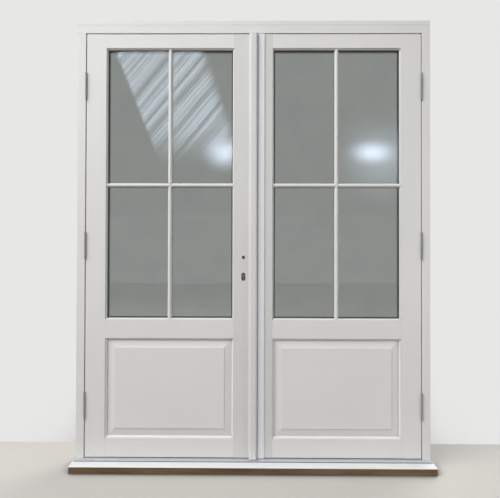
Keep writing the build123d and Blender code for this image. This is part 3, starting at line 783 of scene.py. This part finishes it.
def floor_finish():
    material, tree, shader = new_material("stage_floor", FLOOR_COLOUR, FLOOR_ROUGHNESS)
    cloud = ramp(tree, noise(tree, place(tree), *FLOOR_CLOUD), *FLOOR_CLOUD_RAMP)
    tone = blend_colours(tree, cloud, scaled(FLOOR_COLOUR, FLOOR_CLOUD_TINT), FLOOR_COLOUR)
    # Painted shade on the floor where the doors close it in
    nearby = openness(tree, FLOOR_SHADE_REACH, FLOOR_SHADE_SAMPLES)
    open_floor = ramp(tree, nearby, *FLOOR_SHADE_RAMP)
    tone = blend_colours(tree, open_floor, scaled(FLOOR_COLOUR, FLOOR_SHADE_TINT), tone)
    rays = tree.nodes.new("ShaderNodeLightPath").outputs
    tree.links.new(tone, shader.inputs["Emission Color"])
    lift = math_node(tree, "MULTIPLY", rays["Is Camera Ray"], FLOOR_LIFT)
    tree.links.new(lift, shader.inputs["Emission Strength"])
    tone = blend_colours(tree, rays["Is Diffuse Ray"], tone, FLOOR_BOUNCE)
    tree.links.new(tone, shader.inputs["Base Color"])
    return material


def card_finish():
    material = bpy.data.materials.new("stage_skylight")
    material.use_nodes = True
    tree = material.node_tree
    parts = split(tree)
    across, down = parts["X"], math_node(tree, "MULTIPLY", parts["Z"], -1)

    def line(slope_across, slope_down, offset):
        first = math_node(tree, "MULTIPLY", across, slope_across)
        second = math_node(tree, "MULTIPLY", down, slope_down)
        return math_node(tree, "ADD", math_node(tree, "ADD", first, second), offset)

    def share_squared(value, middle, reach):
        apart = math_node(tree, "SUBTRACT", value, middle)
        return math_node(tree, "POWER", math_node(tree, "DIVIDE", apart, reach), 2)

    def glare(x, z, wide, tall, strength):
        first = share_squared(across, x, wide)
        second = share_squared(down, z, tall)
        away = math_node(tree, "SQRT", math_node(tree, "ADD", first, second))
        spot = math_node(tree, "POWER", smooth_step(tree, away, 1, 0), GLARE_FALL)
        return math_node(tree, "MULTIPLY", spot, strength)

    factors = []
    for slope_across, slope_down, offset, softness in ROOF_EDGES:
        edge = line(slope_across, slope_down, offset)
        factors.append(smooth_step(tree, edge, 0, softness))
    for offset, density, limits in ROOF_STREAKS:
        streaks = noise_along(tree, line(*STREAK_SLOPES, offset), density)
        factors.append(ramp(tree, streaks, *limits))
    total = product(tree, *factors, ROOF_STRENGTH)
    for spot in GLARE_SPOTS:
        total = math_node(tree, "ADD", total, glare(*spot))
    glow = tree.nodes.new("ShaderNodeEmission")
    glow.inputs["Color"].default_value = (*CARD_COLOUR, 1)
    tree.links.new(total, glow.inputs["Strength"])
    tree.links.new(glow.outputs["Emission"], tree.nodes["Material Output"].inputs["Surface"])
    return material


def make_wall():
    wide = WALL_HALF_WIDTH
    corners = upright_corners(-wide, wide, -FLOOR_DROP, WALL_HEIGHT, WALL_Y)
    wall = flat_piece("stage_wall", corners, wall_finish())
    wall.visible_diffuse = False
    wall.visible_shadow = False


def make_floor():
    wide = FLOOR_HALF_WIDTH
    plan = ((-wide, -wide), (wide, -wide), (wide, wide), (-wide, wide))
    corners = [(x, y, -FLOOR_DROP) for x, y in plan]
    flat_piece("stage_floor", corners, floor_finish())


def make_card():
    corners = upright_corners(CARD_LEFT, CARD_RIGHT, -CARD_FOOT, -CARD_TOP, 0)
    card = flat_piece("stage_skylight", corners, card_finish())
    # A pixel of the card is as large as the camera sees it by way of the glass
    size = (2 * GLASS_FRONT - CAMERA_PLACE[1] - CARD_Y) / FOCAL_PX
    card.scale = (size, size, size)
    # The pixel of the photograph that lies square to the doors and level with the camera
    level_x = IMAGE_WIDTH / 2 - FOCAL_PX * math.tan(math.radians(CAMERA_YAW))
    level_z = IMAGE_HEIGHT / 2 + FOCAL_PX * math.tan(math.radians(CAMERA_PITCH))
    left, top = CAMERA_PLACE[0] - level_x * size, CAMERA_PLACE[2] + level_z * size
    card.location = (left, CARD_Y, top)
    card.visible_camera = False
    card.visible_diffuse = False
    card.visible_transmission = False
    card.visible_shadow = False


def make_lamp(name, lamp_place, aim, size, power, colour, spread):
    data = bpy.data.lights.new(name, "AREA")
    data.shape = "RECTANGLE"
    data.size, data.size_y = size
    data.energy = power
    data.color = colour
    data.spread = math.radians(spread)
    lamp = bpy.data.objects.new(name, data)
    lamp.location = lamp_place
    lamp.rotation_mode = "QUATERNION"
    lamp.rotation_quaternion = (Vector(aim) - Vector(lamp_place)).to_track_quat("-Z", "Y")
    bpy.context.scene.collection.objects.link(lamp)
    lamp.visible_camera = False
    lamp.visible_glossy = False
    lamp.visible_transmission = False


def make_world():
    world = bpy.data.worlds.new("studio")
    bpy.context.scene.world = world
    world.use_nodes = True
    tree = world.node_tree
    height = ramp(tree, split(tree, "Generated")["Z"], *AMBIENT_RAMP)
    ambient = blend_colours(tree, height, AMBIENT_LOW, AMBIENT_HIGH)
    rays = tree.nodes.new("ShaderNodeLightPath").outputs
    colour = blend_colours(tree, rays["Is Camera Ray"], ambient, SKY_COLOUR)
    colour = blend_colours(tree, rays["Is Transmission Ray"], colour, SKY_THROUGH_GLASS)
    tree.links.new(colour, tree.nodes["Background"].inputs["Color"])


def make_camera():
    data = bpy.data.cameras.new("camera")
    data.sensor_width = SENSOR_MM
    data.lens = FOCAL_PX / IMAGE_WIDTH * SENSOR_MM
    camera = bpy.data.objects.new("camera", data)
    bpy.context.scene.collection.objects.link(camera)
    angles = (CAMERA_YAW, CAMERA_PITCH, CAMERA_ROLL)
    yaw, pitch, roll = (math.radians(angle) for angle in angles)
    ahead = math.cos(pitch)
    forward = Vector((math.sin(yaw) * ahead, math.cos(yaw) * ahead, math.sin(pitch)))
    level = Vector((math.cos(yaw), -math.sin(yaw), 0))
    upward = level.cross(forward)
    right = level * math.cos(roll) + upward * math.sin(roll)
    up = upward * math.cos(roll) - level * math.sin(roll)
    turn = Matrix((right, up, -forward)).transposed().to_4x4()
    camera.matrix_world = Matrix.Translation(CAMERA_PLACE) @ turn
    bpy.context.scene.camera = camera


make_wall()
make_floor()
make_card()
for lamp_name, lamp_values in LAMPS.items():
    make_lamp(lamp_name, *lamp_values)
make_world()
make_camera()
bpy.context.scene.view_settings.view_transform = "Standard"
